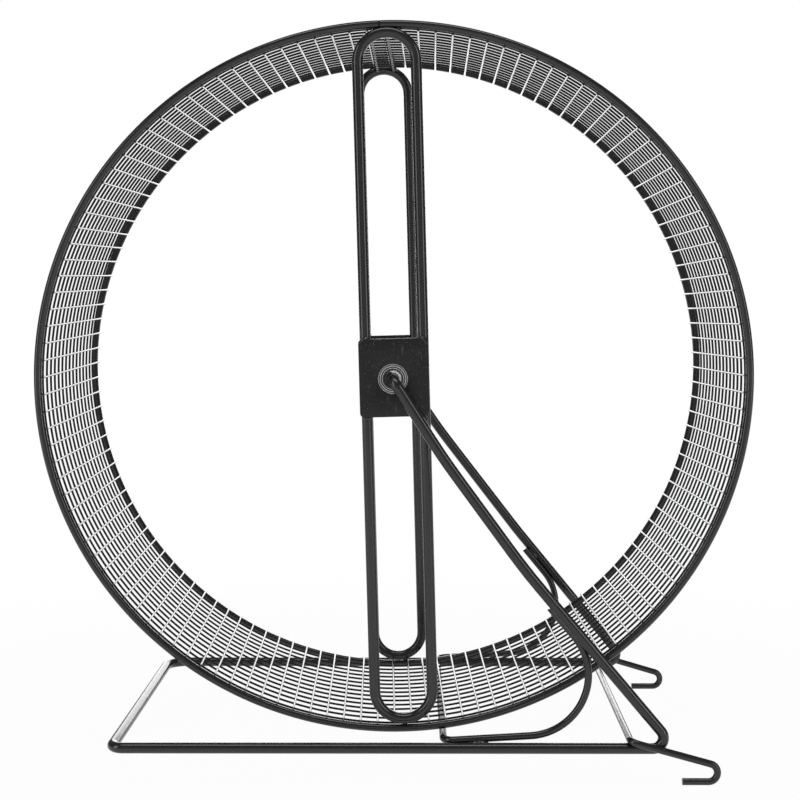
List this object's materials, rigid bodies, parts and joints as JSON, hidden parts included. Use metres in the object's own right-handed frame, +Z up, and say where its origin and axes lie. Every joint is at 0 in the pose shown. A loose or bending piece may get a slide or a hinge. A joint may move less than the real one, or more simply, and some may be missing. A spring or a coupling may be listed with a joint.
{
  "type": "rodent exercise wheel",
  "caption": "Black wire exercise wheel for a rodent, with a mesh track, turning on ball bearings in a bent wire stand with cage hooks.",
  "frame": {"origin": "on the plane under the two rails of the stand, straight below the middle of the wheel's axis", "axes": "+Z up, +Y along the wheel's axis from the front to the back, +X to the side with the hooks"},
  "size_m": [0.262, 0.1428, 0.2788],
  "materials": {
    "black_wire": "gloss",
    "black_plate": "satin",
    "bearing_steel": "satin",
    "bearing_shield": "satin",
    "cage_brass": "satin"
  },
  "bodies": {
    "stand": {"stand_frame": "black_wire", "brace_wire": "black_wire", "hook_wire": "black_wire", "stand_welds": "black_wire", "front_inner_race": "bearing_steel", "rear_inner_race": "bearing_steel"},
    "wheel": {"front_rim": "black_wire", "rear_rim": "black_wire", "track_hoops": "black_wire", "track_cross_wires": "black_wire", "track_lap": "black_wire", "front_loop": "black_wire", "rear_loop": "black_wire", "front_hub_plate": "black_plate", "rear_hub_plate": "black_plate", "wheel_welds": "black_wire", "front_outer_race": "bearing_steel", "rear_outer_race": "bearing_steel", "front_bearing_shields": "bearing_shield", "rear_bearing_shields": "bearing_shield"},
    "front_cage": {"front_ball_cage": "cage_brass", "front_balls": "bearing_steel"},
    "rear_cage": {"rear_ball_cage": "cage_brass", "rear_balls": "bearing_steel"}
  },
  "joints": [
    {"name": "wheel_spin", "type": "hinge", "parent": "stand", "child": "wheel", "pos_m": [0, 0, 0.1365], "axis": [0, 1, 0], "continuous": true},
    {"name": "front_cage_orbit", "type": "hinge", "parent": "stand", "child": "front_cage", "pos_m": [0, 0, 0.1365], "axis": [0, 1, 0], "continuous": true},
    {"name": "rear_cage_orbit", "type": "hinge", "parent": "stand", "child": "rear_cage", "pos_m": [0, 0, 0.1365], "axis": [0, 1, 0], "continuous": true}
  ],
  "couplings": [
    {"joint": "front_cage_orbit", "follows": "wheel_spin", "ratio": 0.63333},
    {"joint": "rear_cage_orbit", "follows": "wheel_spin", "ratio": 0.63333}
  ]
}
